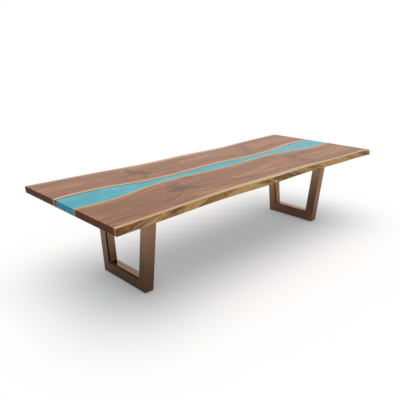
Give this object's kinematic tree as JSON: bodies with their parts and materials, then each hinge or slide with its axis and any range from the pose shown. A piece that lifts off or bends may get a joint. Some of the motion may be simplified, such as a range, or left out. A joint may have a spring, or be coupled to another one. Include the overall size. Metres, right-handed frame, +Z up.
{
  "type": "live edge dining table",
  "caption": "Long dining table: live edge walnut slabs either side of a turquoise resin river, on tapered steel frame legs with levelling feet.",
  "frame": {"origin": "on the floor under the middle of the top", "axes": "+X along the table's length, +Y across it from the near edge to the far edge, +Z up"},
  "size_m": [3.185, 1.308, 0.75],
  "materials": {
    "walnut": "satin oiled",
    "resin": "polished cast resin",
    "leg_steel": "satin bronze lacquer",
    "channel_steel": "matt black powder coat",
    "zinc_steel": "zinc plated",
    "nylon": "moulded nylon"
  },
  "bodies": {
    "table": {"near_slab": "walnut", "far_slab": "walnut", "resin_river": "resin", "left_leg_near_upright": "leg_steel", "left_leg_far_upright": "leg_steel", "left_leg_bottom_rail": "leg_steel", "left_leg_top_plate": "leg_steel", "right_leg_near_upright": "leg_steel", "right_leg_far_upright": "leg_steel", "right_leg_bottom_rail": "leg_steel", "right_leg_top_plate": "leg_steel", "left_stiffener": "channel_steel", "middle_stiffener": "channel_steel", "right_stiffener": "channel_steel", "leg_inserts": "zinc_steel", "leg_washers": "zinc_steel", "leg_bolts": "zinc_steel", "stiffener_inserts": "zinc_steel", "stiffener_washers": "zinc_steel", "stiffener_bolts": "zinc_steel", "foot_nut_blocks": "zinc_steel"},
    "left_near_foot_pad": {"left_near_foot_pad": "nylon"},
    "left_near_foot_stud": {"left_near_foot_stud": "zinc_steel"},
    "left_far_foot_pad": {"left_far_foot_pad": "nylon"},
    "left_far_foot_stud": {"left_far_foot_stud": "zinc_steel"},
    "right_near_foot_pad": {"right_near_foot_pad": "nylon"},
    "right_near_foot_stud": {"right_near_foot_stud": "zinc_steel"},
    "right_far_foot_pad": {"right_far_foot_pad": "nylon"},
    "right_far_foot_stud": {"right_far_foot_stud": "zinc_steel"}
  },
  "joints": [
    {"name": "left_near_foot_height", "type": "slide", "parent": "table", "child": "left_near_foot_pad", "axis": [0, 0, -1], "range_m": [0, 0.012]},
    {"name": "left_near_foot_turn", "type": "hinge", "parent": "left_near_foot_pad", "child": "left_near_foot_stud", "pos_m": [-1.102, -0.2205, 0.02], "axis": [0, 0, -1], "range_deg": [0, 2881]},
    {"name": "left_far_foot_height", "type": "slide", "parent": "table", "child": "left_far_foot_pad", "axis": [0, 0, -1], "range_m": [0, 0.012]},
    {"name": "left_far_foot_turn", "type": "hinge", "parent": "left_far_foot_pad", "child": "left_far_foot_stud", "pos_m": [-1.102, 0.1865, 0.02], "axis": [0, 0, -1], "range_deg": [0, 2881]},
    {"name": "right_near_foot_height", "type": "slide", "parent": "table", "child": "right_near_foot_pad", "axis": [0, 0, -1], "range_m": [0, 0.012]},
    {"name": "right_near_foot_turn", "type": "hinge", "parent": "right_near_foot_pad", "child": "right_near_foot_stud", "pos_m": [1.102, -0.2205, 0.02], "axis": [0, 0, -1], "range_deg": [0, 2881]},
    {"name": "right_far_foot_height", "type": "slide", "parent": "table", "child": "right_far_foot_pad", "axis": [0, 0, -1], "range_m": [0, 0.012]},
    {"name": "right_far_foot_turn", "type": "hinge", "parent": "right_far_foot_pad", "child": "right_far_foot_stud", "pos_m": [1.102, 0.1865, 0.02], "axis": [0, 0, -1], "range_deg": [0, 2881]}
  ],
  "couplings": [
    {"joint": "left_near_foot_turn", "follows": "left_near_foot_height", "rad_per_m": 4188.8},
    {"joint": "left_far_foot_turn", "follows": "left_far_foot_height", "rad_per_m": 4188.8},
    {"joint": "right_near_foot_turn", "follows": "right_near_foot_height", "rad_per_m": 4188.8},
    {"joint": "right_far_foot_turn", "follows": "right_far_foot_height", "rad_per_m": 4188.8}
  ]
}
